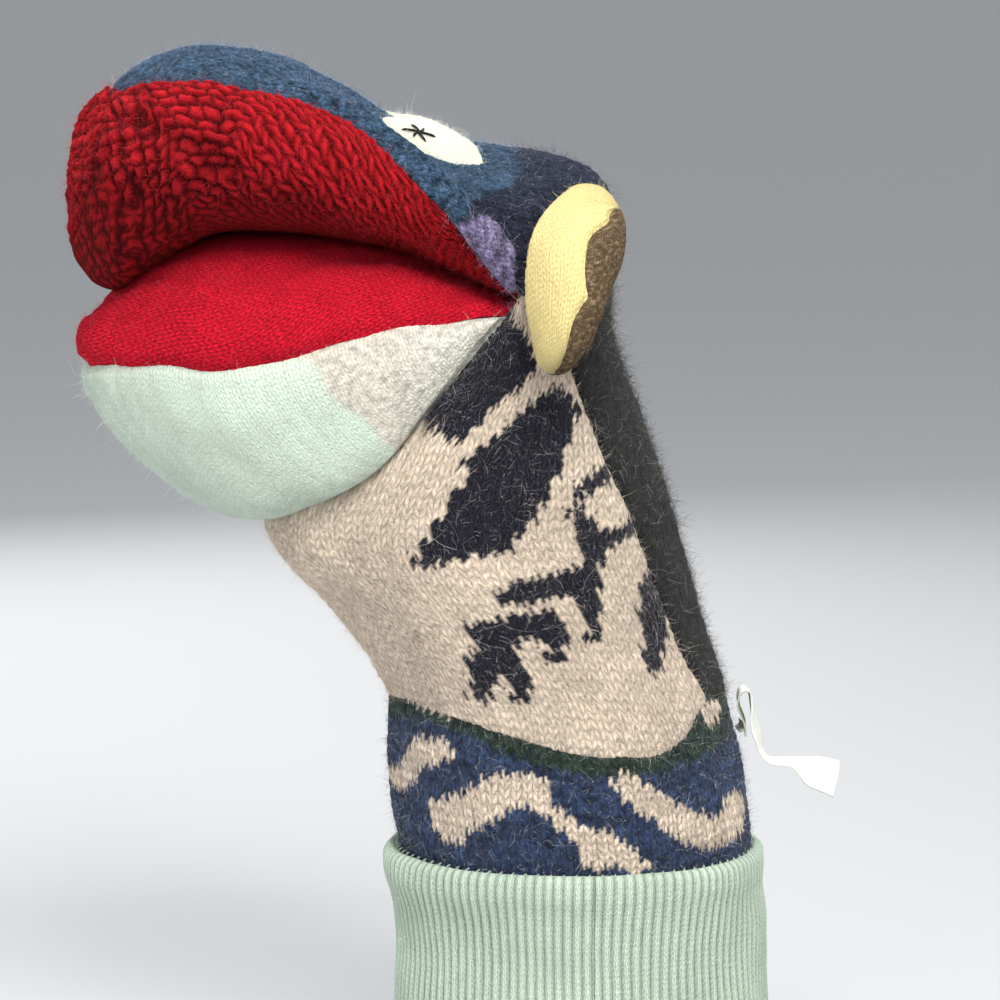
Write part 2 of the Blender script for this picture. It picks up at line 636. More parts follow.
def fibre_piece(cloth, grid, normals, slot, carry, density, colour, reach, lift, thick, seed, where=None):
    chance = np.random.default_rng(seed)
    a, b = grid[1:, :-1] - grid[:-1, :-1], grid[:-1, 1:] - grid[:-1, :-1]
    area = np.linalg.norm(np.cross(a, b), axis=-1)
    if where is not None:
        area = area * where[:-1, :-1]
    count = int(area.sum() / 100 * density)
    if count < 3:
        return
    pick = chance.choice(area.size, count, p=(area / area.sum()).ravel())
    i, j = np.unravel_index(pick, area.shape)
    f, g = chance.random((2, count, 1))
    root = grid[i, j] + a[i, j] * f + b[i, j] * g
    n = normals[i, j]
    t = chance.normal(size=(count, 3))
    t = t - n * (t * n).sum(-1, keepdims=True)
    t /= np.linalg.norm(t, axis=-1, keepdims=True)
    rise = chance.uniform(0.1, 1.0, (count, 1)) * lift * 1.6
    way = t + n * rise
    way /= np.linalg.norm(way, axis=-1, keepdims=True)
    long = reach * chance.gamma(4.0, 0.25, (count, 1)).clip(0.3, 3.0)
    curl = np.cross(way, chance.normal(size=(count, 3))) * 0.9
    steps = np.linspace(0, 1, FIBRE_STEPS)
    line = [root - n * 0.25 + way * long * k + curl * long * k * k * 0.6 - n * rise * long * 0.25 * k**3 for k in steps]
    line = np.stack(line, 1)
    side = np.cross(np.gradient(line, axis=1), chance.normal(size=(count, 1, 3)))
    side /= np.maximum(np.linalg.norm(side, axis=-1, keepdims=True), 1e-6)
    width = thick / 2 * (1 - 0.7 * steps**2)[None, :, None]
    points = np.stack([line - side * width, line + side * width], 2).reshape(-1, 3)
    points[:, 2] = np.maximum(points[:, 2], FLOOR_CLEARANCE)
    first, step = np.arange(count) * FIBRE_STEPS * 2, np.arange(FIBRE_STEPS - 1) * 2
    quads = (first[:, None, None] + step[None, :, None] + np.array([0, 1, 3, 2])).reshape(-1, 4)
    mesh = quad_mesh(cloth.name + "_fibres", points, quads)
    obj = add(f"{cloth.name}_fibres_{colour}", mesh)
    mesh.materials.append(fibre_material(colour))
    carry(obj)


def riding(body):
    return lambda obj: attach(obj, body)


def bending(*where):
    return lambda obj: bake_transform(obj)


# ---- sleeve panels --------------------------------------------------------------------------------------------------
# Outlines in the side view, as (y, z).
NAVY_MOTIFS = [
    [(-47, 147), (-44, 153), (-38, 162), (-34, 168), (-33, 174), (-26, 180), (-18, 187), (-12, 192), (-9, 192),
     (-5, 187), (-5, 182),
     (-8, 176), (-10, 169), (-12, 164), (-15, 160), (-19, 155), (-22, 151), (-32, 150), (-39, 148)],
    [(-26, 213), (-19, 207), (-15, 200), (-15, 197), (-19, 192), (-24, 189), (-28, 185), (-32, 180), (-35, 178),
     (-38, 180), (-42, 182),
     (-46, 184), (-39, 193), (-33, 203), (-29, 213)],
    [(-6, 166), (-2, 169), (3, 171.5), (5.5, 170), (4, 167), (0, 165), (-4, 163), (-6, 164)],
    [(-8, 161), (-3, 163), (-1, 159), (1, 155), (5, 155), (10, 157), (11.5, 153), (5, 151), (2.5, 150),
     (1.5, 145), (1.5, 128),
     (-2, 127), (-3, 135), (-4, 138.5), (-10, 139), (-15, 138), (-24, 137.5), (-25, 141), (-22, 143), (-16, 144),
     (-8, 145.5),
     (-4, 147), (-3, 150), (-3, 153), (-5, 157)],
    [(-33, 131), (-30, 133.5), (-25, 134), (-19, 135.5), (-11, 136), (-7, 133), (-7, 127), (-8.5, 122),
     (-12, 122), (-13, 127),
     (-15, 129), (-20, 128), (-18, 124), (-16, 120), (-16, 112), (-20.5, 111), (-22, 118), (-24, 119), (-25, 114),
     (-27, 111),
     (-31, 112), (-31, 118), (-33, 123), (-30, 126), (-27, 126), (-31, 128)],
    [(12, 141), (16, 144), (18.5, 138), (20, 133), (20.5, 128), (19, 123), (18.5, 119), (15, 117), (13, 124),
     (14, 128), (12, 133)],
]
TORSO_WALE, TORSO_COURSE = 3.1, 2.5
TORSO_RADIUS, TORSO_STRETCH = 47.5, 1.08  # fabric length for a turn of one radian, and for 1 mm along the sleeve


def sleeve_grid(front, rows, columns):
    """Grid on the front or back panel: (angles, places along, points)."""
    u, v = np.meshgrid(np.linspace(0, 1, columns), np.linspace(0, 1, rows))
    s = v * 100
    for _ in range(8):  # the seam's angle depends on the place along, and the other way round
        seam = back_seam_angle(np.minimum(s, 118))
        if front:
            a = math.pi - seam + (2 * seam - math.pi) * u
        else:
            a = seam - (math.pi + 2 * seam) * u
        low = sleeve_hem(a)
        top = sleeve_top(a)
        s = low + (top - low) * v
    over = smooth((v - 0.965) / 0.035) if front else smooth((v - 0.97) / 0.03)
    grid = sleeve_point(s + 3.5 * over, a)
    grid[..., 0] *= 1 - 0.03 * over
    return a, s, grid


def sleeve_panel(front):
    rows, columns = (int(118 / FINE), int(168 / FINE)) if front else (int(122 / 0.8), int(72 / 0.8))
    a, s, grid = sleeve_grid(front, rows, columns)
    u, v = (math.pi / 2 - a) * TORSO_RADIUS, s * TORSO_STRETCH
    normals = grid_normals(grid, grid.mean((0, 1)) + np.array([0, 25 if front else -40, 0]))
    tuck = edge_tuck(rows, columns, 160 if front else 66, 112, width=3.5, depth=1.5)
    puff = lumps(grid, 26, 3.0) * 1.1 + lumps(grid, 6, 9.0) * 0.35
    if front:
        cell_u, cell_v = stitch_middle(u, v, TORSO_WALE, TORSO_COURSE)
        spot = sleeve_point(cell_v / TORSO_STRETCH, math.pi / 2 - cell_u / TORSO_RADIUS)
        navy = inside_any(spot[..., 1], spot[..., 2], NAVY_MOTIFS) & (np.abs(np.cos(a)) > 0.35)
        tint = mix(OATMEAL, NAVY, navy.astype(float)) * stitch_noise(u, v, TORSO_WALE, TORSO_COURSE, 1, 0.22)
        pale = smooth((lumps(grid, 30, 5.0) + 0.2) * 1.2)[..., None]
        tint = tint * (0.92 + 0.16 * pale) * (1 + 0.16 * lumps(grid, 1.5, 12.0, 2)[..., None] * [1.0, 1.05, 1.12])
        knit = stitch_height(u + lumps(grid, 12, 2.0) * 0.7, v, TORSO_WALE, TORSO_COURSE)
        grid = grid + normals * (puff - tuck + 0.6 * knit + 0.25 * lumps(grid, 3, 14.0))[..., None]
        name, slot = "front_panel", "oatmeal_knit"
        material = wool("oatmeal_knit", TORSO_WALE, TORSO_COURSE, 0.42, 1.3, 0.42, 0.32, 0.22, (1, 0.93, 0.86))
    else:
        tint = np.broadcast_to(CHARCOAL, grid.shape) * (1 + 0.45 * lumps(grid, 5, 4.0, 3)[..., None])
        knit = lumps(grid, 2.2, 8.0, 3)
        grid = grid + normals * (puff * 0.8 - tuck + 0.45 * knit)[..., None]
        name, slot = "back_panel", "charcoal_felt"
        material = wool("charcoal_felt", 2.0, 1.7, 0.35, 1.6, 0.5, 0.35, 0.12, (0.8, 0.8, 0.8))
    pile = np.clip(0.4 + knit * 0.6, 0, 1)
    obj = mesh_piece(name + "_cloth", grid, np.stack([u, v], -1), tint, pile, normals=normals)
    finish(obj, material, slot, name)
    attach(obj, "head")
    if front:
        kinds = ((60, "pale", 2.2, 0.5, 0.032, 1), (150, "oat", 1.5, 0.45, 0.07, 21, ~navy),
                 (110, "navy", 1.6, 0.45, 0.06, 2, navy), (1.5, "white", 6.0, 0.5, 0.04, 3))
    else:
        kinds = (230, "coal", 2.4, 1.0, 0.06, 4), (16, "pale", 2.4, 0.8, 0.03, 5)
    fibres(obj, grid, normals, slot, riding("head"), *kinds)


sleeve_panel(True)
sleeve_panel(False)

# The upper seam line of the sleeve, from the back seam on the left round the front to the one on the right.
border_angles = np.linspace(-math.radians(88), math.radians(268), 720)
border = sleeve_point(sleeve_top(border_angles), border_angles)
left_border = border[border[:, 0] > 0]
left_border = left_border[np.argsort(left_border[:, 1])]


# ---- patterned band -------------------------------------------------------------------------------------------------
BAND_OATMEAL = [
    [(-43, 100), (-36, 100), (-33, 97), (-37, 94), (-41, 92), (-43, 87), (-46, 83), (-49, 85), (-46, 91), (-44, 96)],
    [(-40, 79), (-39, 84), (-33, 86), (-30, 88), (-27, 91), (-22, 93), (-16, 93), (-10, 91), (-11, 87), (-9, 84),
     (-4, 81.5), (-2, 79),
     (3, 78.5), (11, 73), (14, 69), (11, 66), (5, 70), (2, 67), (-3, 70), (-4.5, 75), (-8, 78), (-11, 82),
     (-16, 84.5), (-19, 84.5),
     (-22, 82), (-26, 79), (-30, 77), (-32, 73), (-37, 73), (-39, 76)],
    [(4, 91), (8, 94), (13, 90), (19, 87), (23, 83), (29, 80), (33, 79), (34, 83), (37, 85), (41, 82), (41, 74),
     (33, 72), (28, 72),
     (23, 74), (19, 77), (16, 80), (11, 83), (7, 87)],
    [(-46, 113), (-35, 113), (-33, 109), (-38, 106.5), (-45, 108)],
    [(30, 107), (35, 108), (35, 103.5), (31, 102.5)],
]
BAND_GIRTH, BAND_HEIGHT = 290.0, 39.0  # the fabric's size
BAND_WALE, BAND_COURSE = BAND_GIRTH / 96, 2.6
GREEN_EDGE = ([-51, -45, -38, -30, -22, -11, -1, 10, 20, 29, 37, 45],
              [101, 104, 104, 102, 98, 95, 92.5, 92.5, 93.5, 95, 98, 96])  # the green's lower edge: z against y


def band_foot(a):
    """Where the band starts inside the cuff's top."""
    return np.stack([46.2 * np.cos(a), -46.2 * np.sin(a), np.full(a.shape, 64.5)], -1)


def band():
    rows, columns = int(46 / FINE), int(300 / FINE)
    u, v = np.meshgrid(np.linspace(0, 1, columns, endpoint=False), np.linspace(0, 1, rows))
    a = math.pi / 2 - u * 2 * math.pi
    v = v * 0.999
    low = band_foot(a)
    low[..., 2] += 1.2 * np.cos(a) ** 2 + 1.0 * np.sin(a)
    high = sleeve_point(sleeve_hem(a) + 1.0, a)
    grid = low + (high - low) * v[..., None]
    out = np.stack([np.cos(a), -np.sin(a), 0 * a], -1)
    bulge = 1.9 * np.sin(math.pi * v) ** 0.8 - 0.9
    fabric_u, fabric_v = u * BAND_GIRTH, v * BAND_HEIGHT
    knit = stitch_height(fabric_u + lumps(grid, 14, 6.0) * 0.6, fabric_v, BAND_WALE, BAND_COURSE)
    shape = bulge + lumps(grid, 20, 7.0) * 0.9 + 0.75 * knit
    cell_u, cell_v = stitch_middle(fabric_u, fabric_v, BAND_WALE, BAND_COURSE)
    cell_v = np.clip(cell_v / BAND_HEIGHT, 0, 1)
    cell_a = math.pi / 2 - cell_u / BAND_GIRTH * 2 * math.pi
    cell_low = band_foot(cell_a)
    cell = cell_low + (sleeve_point(sleeve_hem(cell_a) + 1.0, cell_a) - cell_low) * cell_v[..., None]
    pale = inside_any(cell[..., 1], cell[..., 2], BAND_OATMEAL)
    green = cell[..., 2] > np.interp(cell[..., 1], *GREEN_EDGE)
    dots = green & (hashed(np.floor(cell_u / 6.1), np.floor(cell_v * 9), 5) > 0.86)
    tint = mix(BAND_NAVY, OATMEAL * 1.02, pale.astype(float))
    tint = mix(tint, GREEN, green & ~pale)
    tint = mix(tint, OATMEAL * 0.9, dots & (cell[..., 1] > 36))
    heather = 1 + 0.9 * np.clip(lumps(grid, 2.4, 2.0, 3), -0.6, 0.9)[..., None] * (1 - 0.75 * pale[..., None])
    tint = tint * heather * stitch_noise(fabric_u, fabric_v, BAND_WALE, BAND_COURSE, 3, 0.3)
    grid = grid + out * shape[..., None]
    pile = np.clip(0.4 + knit * 0.6, 0, 1)
    obj = mesh_piece("band_cloth", grid, np.stack([fabric_u, fabric_v], -1), tint, pile, closed=True)
    cloth = wool("patterned_knit", BAND_WALE, BAND_COURSE, 0.5, 1.3, 0.45, 0.36, 0.15, (0.85, 0.9, 1))
    finish(obj, cloth, "patterned_knit", "patterned_band")
    face_outward(obj, grid, out)
    bend = ("sleeve", "head", (0, -0.002, 0.070), (0, -0.004, 0.097))
    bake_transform(obj)
    fibres(obj, grid, out, "patterned_knit", bending(*bend),
           (60, "navy", 1.8, 0.45, 0.07, 6, ~pale), (55, "blue", 1.8, 0.45, 0.06, 22, ~(pale | green)),
           (130, "oat", 1.5, 0.45, 0.07, 23, pale), (40, "pale", 2.2, 0.45, 0.032, 7))


band()


# ---- cuff -----------------------------------------------------------------------------------------------------------
def cuff():
    ribs, girth_radius = 118, 48.0
    columns = ribs * 8
    # Rows of (length along the profile, radius, height), up the outside and down the inside.
    profile = track((0, 46.0, 0.0), (3, 47.0, 0.8), (12, 48.1, 8), (34, 47.6, 30), (51, 47.4, 47),
                    (62, 48.5, 57.7), (69, 49.4, 64.0),
                    (73, 49.0, 67.4), (76, 47.4, 68.8), (80, 45.4, 67.0), (84, 44.6, 64), (100, 44.4, 50),
                    (150, 44.4, 1.5), (152, 44.8, 0.0))
    stations = np.concatenate([np.linspace(0, 84, 120), np.linspace(86, 152, 26)])
    t, a = np.meshgrid(stations, np.linspace(0, 2 * math.pi, columns, endpoint=False), indexing="ij")
    place = profile(t)
    outer = smooth((90 - t) / 6)
    spot = np.stack([place[..., 0] * np.cos(a), place[..., 0] * np.sin(a), place[..., 1]], -1)
    swing = 0.012 * np.sin(a * 5 + place[..., 1] * 0.03) + 0.010 * lumps(spot, 30, 1.0)
    rib = np.abs(np.sin((a + swing * smooth(place[..., 1] / 20)) * ribs / 2))
    wave = lumps(spot, 24, 4.0) * 1.0 * outer
    swell = 2.6 * np.clip(np.sin(a), 0, 1) ** 2 * smooth(place[..., 1] / 25) * smooth((66 - place[..., 1]) / 20)
    swell = swell + 1.3 * np.clip(-np.sin(a), 0, 1) ** 2 * smooth((place[..., 1] - 52) / 10)
    radius = place[..., 0] + outer * (0.75 * (rib**0.8 - 0.6) + swell) + wave
    dip = 1.6 * np.cos(a) ** 2 * smooth((place[..., 1] - 45) / 20)
    height = place[..., 1] - 1.3 * smooth((place[..., 1] - 50) / 18) + dip * 0.2
    grid = np.stack([radius * np.cos(a), radius * np.sin(a), height], -1)
    tint = mix(CUFF_MINT * 0.72, CUFF_MINT * 1.12, rib) * (1 + 0.05 * lumps(spot, 12, 2.0)[..., None])
    fabric = np.stack([(a + swing) * girth_radius, place[..., 1]], -1)
    obj = mesh_piece("cuff_cloth", grid, fabric, tint, 0.35 + 0.65 * rib, closed=True)
    out = np.stack([np.cos(a), np.sin(a), 0 * a], -1)
    face_outward(obj, grid[:100], out[:100])
    cloth = wool("mint_rib", 48 * 2 * math.pi / ribs / 2, 1.5, 0.25, 0.45, 0.12, 0.25, 0.25, (0.9, 1, 0.9))
    finish(obj, cloth, "mint_rib", "cuff_ribbing")
    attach(obj, "sleeve")
    fibres(obj, grid[:110], out[:110], "mint_rib", riding("sleeve"), (9, "mint", 1.8, 0.5, 0.055, 8))


cuff()


# ---- head panel -----------------------------------------------------------------------------------------------------
HEAD_NAVY_PATCH = [(-12, 262), (-15, 252), (-17, 246), (-21, 241), (-28, 240), (-35, 234), (-37, 228), (-19, 212),
                   (30, 212), (30, 262)]
LAVENDER_PATCH = [(-37, 229), (-35, 233), (-32, 234.5), (-28, 235), (-24, 232), (-21, 227), (-20, 220), (-20, 213),
                  (-23, 214), (-28, 222)]
HEAD_WALE, HEAD_COURSE = 2.2, 1.8
EYE_CENTRE, EYE_NORMAL = np.array([21.5, -41.0, 250.0]), np.array([0.52, 0.25, 0.82])
# Where the blends across the joints start and end, in metres.
SNOUT_BEND = ((0, -0.006, 0.235), (0, -0.042, 0.250))
JAW_BEND = ((0, -0.0564, 0.1768), (0, -0.0564 - 0.0255, 0.1768 + 0.0282))


def head_cloth():
    rows, columns = int(185 / FINE), int(150 / FINE)
    w = np.linspace(0, 1, rows)
    q = HEAD_FRONT + (HEAD_BACK - HEAD_FRONT) * (0.35 * w**2 + 0.65 * w) + 1e-3
    u, q = np.meshgrid(np.linspace(0, 1, columns), q)
    rim = head_rim(q)
    b = rim + (math.pi - 2 * rim) * u
    grid = head_point(q, b)
    want = np.interp(grid[..., 1], left_border[:, 1], left_border[:, 0])
    near_back = smooth((q - 6) / 14) * smooth((7 - grid[..., 1]) / 6) * smooth(np.abs(grid[..., 0]) / 20)
    grid[..., 0] += np.sign(grid[..., 0]) * np.clip(want + 0.6 - np.abs(grid[..., 0]), -4, 4) * near_back
    across = run(grid, 1)
    across = across - across[:, columns // 2][:, None]
    normals = grid_normals(grid, grid.mean((0, 1)) - np.array([0, 0, 30]))
    from_rim = np.abs(across).max(1)[:, None] - np.abs(across)
    near = np.minimum(from_rim, np.minimum(1 - w, w)[:, None] * 160)
    tuck = 1.6 * rounding(near / 4)
    y, z = grid[..., 1] + 0.8 * lumps(grid, 3, 1.0), grid[..., 2] + 0.8 * lumps(grid, 3, 2.0)
    navy, lavender = inside(y, z, HEAD_NAVY_PATCH), inside(y, z, LAVENDER_PATCH)
    fade = smooth((q + 22) / 8) * smooth((np.sin(b) - 0.3) / 0.4)
    tint = mix(mix(BLUE, HEAD_NAVY, np.maximum(navy, fade)), LAVENDER, lavender)
    marl = lumps(grid, 1.7, 3.0, 3)
    blotch = lumps(grid, 9, 4.0, 2)
    tint = tint * (1 + 1.25 * np.clip(marl, -0.62, 1.2)[..., None]) * (1 + 0.22 * blotch[..., None])
    knit = stitch_height(across + lumps(grid, 10, 5.0) * 0.5, q, HEAD_WALE, HEAD_COURSE)
    roll = 3.6 * np.exp(-(((from_rim - 6.0) / 4.0) ** 2)) * smooth((q + 84) / 16) * smooth((-18 - q) / 14)
    for side in (1, -1):  # a hollow under each eye
        away = ((grid - EYE_CENTRE * [side, 1, 1]) * np.array([1.25, 0.8, 0.6])) ** 2
        roll = roll - 2.6 * np.exp(-away.sum(-1) / 11**2)
    shape = lumps(grid, 22, 12.0) * 1.2 + 0.3 * knit + 0.35 * marl - tuck + lavender * 1.5 + roll
    grid = grid + normals * shape[..., None]
    pile = np.clip(0.5 + knit * 0.5, 0, 1)
    obj = mesh_piece("head_cloth", grid, np.stack([across, q * 1.1], -1), tint, pile, normals=normals)
    cloth = wool("blue_knit", HEAD_WALE, HEAD_COURSE, 0.5, 1.5, 0.65, 0.5, 0.12, (0.5, 0.75, 1))
    finish(obj, cloth, "blue_knit", "head_panel")
    bend = ("head", "snout", *SNOUT_BEND)
    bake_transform(obj)
    fibres(obj, grid, normals, "blue_knit", bending(*bend),
           (85, "blue", 1.9, 0.7, 0.055, 9, ~(navy | lavender)), (110, "navy", 1.9, 0.7, 0.055, 10, navy),
           (150, "lilac", 1.7, 0.6, 0.055, 11, lavender), (34, "pale", 1.6, 0.5, 0.025, 12))


head_cloth()


# ---- upper mouth lining ---------------------------------------------------------------------------------------------
def upper_lining():
    rows, columns = int(165 / 0.6), int(170 / 0.6)
    w = np.linspace(0, 1, rows)
    q = SNOUT_TIP + (-19 - SNOUT_TIP) * (0.45 * w**2 + 0.55 * w)
    u, q = np.meshgrid(np.linspace(0, 1, columns), q)
    rim = np.where(q < HEAD_FRONT, math.pi / 2, head_rim(q))
    rim = rim + 0.055 * smooth((q - HEAD_FRONT) / 6) * smooth((-24 - q) / 10)
    b = rim - (math.pi + 2 * rim) * u
    grid = head_point(q, b)
    normals = grid_normals(grid, np.array([0, -80, 240.0]))
    along, across = run(grid, 0), run(grid, 1)
    down = np.minimum(across, across[:, -1:] - across)  # distance from the rim
    # The cloth turns round the snout's tip: y goes on beyond -113 by the angle.
    bow = np.arctan2(np.abs(grid[..., 0]), np.maximum(-113 - grid[..., 1], 1e-6))
    round_tip = smooth((-111 - grid[..., 1]) / 4)
    y = np.where(grid[..., 1] > -113, grid[..., 1], -113 - 20 * (math.pi / 2 - bow)) + 1.2 * lumps(grid, 12, 1.0)
    fan = (1 - round_tip * (1 - smooth(np.hypot(grid[..., 0], grid[..., 1] + 113) / 9))) * smooth((along - 0.5) / 7)
    # Twisted cords slanting down and back, then purl ridges, then upright cords at the tip.
    lean = math.radians(38)
    loose = 1.3 * lumps(grid, 5, 6.0) + 0.5 * lumps(grid, 2.2, 16.0)
    over = (y * math.cos(lean) - down * math.sin(lean) + loose) / 6.2
    length = (y * math.sin(lean) + down * math.cos(lean) + 1.2 * lumps(grid, 6, 7.0)) / 3.5
    leg = np.abs(phase(over))
    cords = np.sqrt(np.clip(1 - ((leg - 0.25) * 4) ** 2, 0, 1))
    cords = cords * (1 - 0.55 * (phase(length + leg * 2.2) * 2) ** 2)
    place = (down + 1.0 * lumps(grid, 9, 2.0) + loose) / 3.1
    ridge = np.abs(np.sin(math.pi * place)) ** 0.6
    bead = (y + loose) / 4.6 + np.floor(place) * 0.5
    ridge = ridge * (1 - 0.75 * (phase(bead) * 2) ** 4)
    post = (y - 0.1 * down + loose) / 3.0
    upright = np.abs(np.sin(math.pi * post)) ** 0.6
    twist = (240 - grid[..., 2] + loose) / 3.3 + np.floor(post) * 0.37 + 0.9 * (post - np.floor(post))
    upright = upright * (1 - 0.8 * (phase(twist) * 2) ** 2)
    middle = smooth((y + 91 + 0.25 * (down - 20)) / 3)
    front = smooth((y + 111 - 0.35 * np.clip(down - 10, 0, 30) * smooth((grid[..., 1] + 124) / 6)) / 3)
    knit = upright * (1 - front) + ridge * front * (1 - middle) + cords * middle
    corner = smooth((y + 46) / 10)
    knit = knit * (1 - corner) + corner * stitch_height(down, y, 3.0, 2.4)
    knit = 0.55 + (knit - 0.55) * fan
    fold = np.exp(-(((down - 14 - 0.42 * (y + 122)) / 3.2) ** 2)) * smooth((-84 - y) / 10) * smooth((y + 128) / 8)
    crease = np.exp(-(((y + 91 + 0.3 * (down - 10)) / 2.4) ** 2)) * smooth((down - 4) / 6) * smooth((40 - down) / 8)
    puff = 2.0 * np.sin(math.pi * np.clip(down / 42, 0, 1)) * smooth((-40 - y) / 30)
    puff = puff * (0.2 + 0.8 * smooth((q + 125) / 16))
    tuck = 1.8 * (1 - smooth(down / 3.5)) * smooth((q - HEAD_FRONT + 2) / 3)
    shape = puff + lumps(grid, 18, 8.0) * 1.3 + 1.6 * knit - 0.9 - tuck - 1.8 * fold - 1.2 * crease
    shape = 0.6 + (shape - 0.6) * smooth((along + 0.3) / 4)
    rest = smooth((down - 34) / 8)
    shape = shape * (1 - rest) + rest * (0.4 * knit + 0.7)
    grid = grid + normals * shape[..., None]
    tint = DARK_RED * (0.08 + 1.12 * np.clip(knit, 0, 1) ** 1.4)[..., None]
    tint = tint * (1 + 0.18 * lumps(grid, 3, 5.0, 2)[..., None])
    tint = tint * (1 - 0.45 * (fold + 0.6 * crease)[..., None].clip(0, 1))
    tint = tint * (1 - 0.4 * smooth((down - 22) / 14))[..., None]
    fabric_u = np.where(grid[..., 1] > -113, grid[..., 1], y)
    fabric = np.stack([fabric_u, -grid[..., 2] - 0.4 * np.abs(grid[..., 0])], -1)
    pile = np.clip(0.3 + knit * 0.7, 0, 1)
    obj = mesh_piece("upper_lining_cloth", grid, fabric, tint, pile, normals=normals)
    cloth = wool("dark_red_knit", 1.5, 1.1, 0.22, 1.1, 0.28, 0.22, 0.16, (1, 0.08, 0.08))
    finish(obj, cloth, "dark_red_knit", "upper_mouth_lining")
    bend = ("head", "snout", *SNOUT_BEND)
    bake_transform(obj)
    fibres(obj, grid, normals, "dark_red_knit", bending(*bend), (80, "red", 1.9, 0.5, 0.055, 13, down < 36))


upper_lining()


# ---- lower mouth lining and chin ------------------------------------------------------------------------------------
def lower_lining():
    rows, columns = int(150 / FINE), int(130 / FINE)
    w = np.linspace(0, 1, rows)
    y = JAW_TIP + (-19 - JAW_TIP) * (0.5 * w**2 + 0.5 * w)
    u, y = np.meshgrid(np.linspace(0, 1, columns), y)
    rim = jaw_rim(y) - 0.05 * smooth((-28 - y) / 10)
    b = rim + (math.pi - 2 * rim) * u
    grid = jaw_point(y, b)
    normals = grid_normals(grid, np.array([0, -75, 195.0]))
    across = run(grid, 1)
    down = np.minimum(across, across[:, -1:] - across)
    tuck = 1.6 * (1 - smooth(down / 3.5))
    knit = stitch_height(down + lumps(grid, 14, 2.0) * 1.0 - 0.35 * y, y + 0.35 * down, 2.1, 1.7)
    puff = 1.6 * np.sin(math.pi * np.clip(down / 30, 0, 1)) * smooth((-30 - y) / 30)
    shape = puff + lumps(grid, 24, 3.0) * 1.1 + 0.4 * knit - tuck
    rest = smooth((down - 26) / 10)
    shape = shape * (1 - rest) + rest * (1.6 + 0.2 * knit)
    grid = grid + normals * shape[..., None]
    tint = BRIGHT_RED * (0.80 + 0.32 * knit)[..., None] * (1 + 0.10 * lumps(grid, 7, 5.0, 2)[..., None])
    fabric, pile = np.stack([down - 0.35 * y, y + 0.35 * down], -1), np.clip(0.6 + knit * 0.4, 0, 1)
    obj = mesh_piece("lower_lining_cloth", grid, fabric, tint, pile, normals=normals)
    cloth = wool("bright_red_knit", 2.1, 1.7, 0.5, 1.3, 0.34, 0.46, 0.25, (1, 0.05, 0.08))
    finish(obj, cloth, "bright_red_knit", "lower_mouth_lining")
    bend = ("head", "jaw", *JAW_BEND)
    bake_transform(obj)
    fibres(obj, grid, normals, "bright_red_knit", bending(*bend), (70, "scarlet", 1.7, 0.5, 0.055, 14, down < 34))


def chin():
    rows, columns = int(78 / FINE), int(260 / FINE)
    v, t = np.meshgrid(np.linspace(0, 1, rows), np.linspace(0.03, math.pi - 0.03, columns), indexing="ij")

    def rim_gap(turn):
        p = jaw_ray(t[:1], turn)
        return jaw_track(p[..., 1])[..., 6] - p[..., 2]

    def throat_gap(turn):
        p = jaw_ray(t[:1], turn)
        return throat_track(np.clip(p[..., 1], -88, 30))[..., 0] - p[..., 2]

    high = solve(rim_gap, np.full(t[:1].shape, -0.25), np.full(t[:1].shape, 0.6), 16)
    low = solve(throat_gap, high, np.full(t[:1].shape, 1.35), 16)
    grid = jaw_ray(t, high + (low - high) * v)
    front = border[border[:, 1] < -19.5]
    heading = np.arctan2(-(front[:, 1] + 19), front[:, 0])
    order = np.argsort(heading)
    own = np.arctan2(-(grid[-1, :, 1] + 19), grid[-1, :, 0])
    sewn = np.stack([np.interp(own, heading[order], front[order, k]) for k in range(3)], -1)
    grid += np.clip(sewn - grid[-1], -8, 8)[None] * smooth((v - 0.3) / 0.7)[..., None]
    normals = grid_normals(grid, np.array([0, -60, 200.0]))
    along = run(grid, 0)
    near = np.minimum(along, along[-1:] - along)
    tuck = 1.5 * (1 - smooth(near / 3.5))
    step = run(grid, 1)
    fabric_u = (step - step[:, columns // 2][:, None])[rows // 2][None] + np.zeros((rows, 1))
    fabric_v = along - 0.1 * np.abs(fabric_u)
    knit = stitch_height(fabric_u, fabric_v, 1.7, 1.4)
    puff = 2.0 * np.sin(math.pi * v) * np.sin(t)
    grid = grid + normals * (puff + lumps(grid, 26, 5.0) * 1.1 + 0.2 * knit - tuck)[..., None]
    line = np.interp(grid[..., 2], [172, 176, 185, 190, 196, 202], [-46, -51, -60, -67, -71, -77])
    line = line + 2.5 * lumps(grid, 8, 2.0)
    grey = smooth((grid[..., 1] - line) / 3.0)
    pale = smooth((grid[..., 1] + 62) / 30) * 0.5
    tint = mix(MINT, GREY, grey)
    tint = mix(tint, np.array([0.74, 0.74, 0.66]), pale * grey)
    tint = tint * (1 + (0.05 + 0.36 * grey[..., None]) * lumps(grid, 1.6, 7.0, 3)[..., None])
    tint = tint * (1 + 0.08 * lumps(grid, 14, 9.0)[..., None])
    fabric, pile = np.stack([fabric_u, fabric_v], -1), np.clip(0.7 + knit * 0.3, 0, 1)
    obj = mesh_piece("chin_cloth", grid, fabric, tint, pile, normals=normals)
    cloth = wool("mint_knit", 1.7, 1.4, 0.22, 0.8, 0.16, 0.2, 0.2, (0.95, 1, 0.95))
    finish(obj, cloth, "mint_knit", "chin_panel")
    bend = ("head", "jaw", *JAW_BEND)
    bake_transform(obj)
    fibres(obj, grid, normals, "mint_knit", bending(*bend), (60, "mint", 1.8, 0.5, 0.055, 15))


lower_lining()
chin()


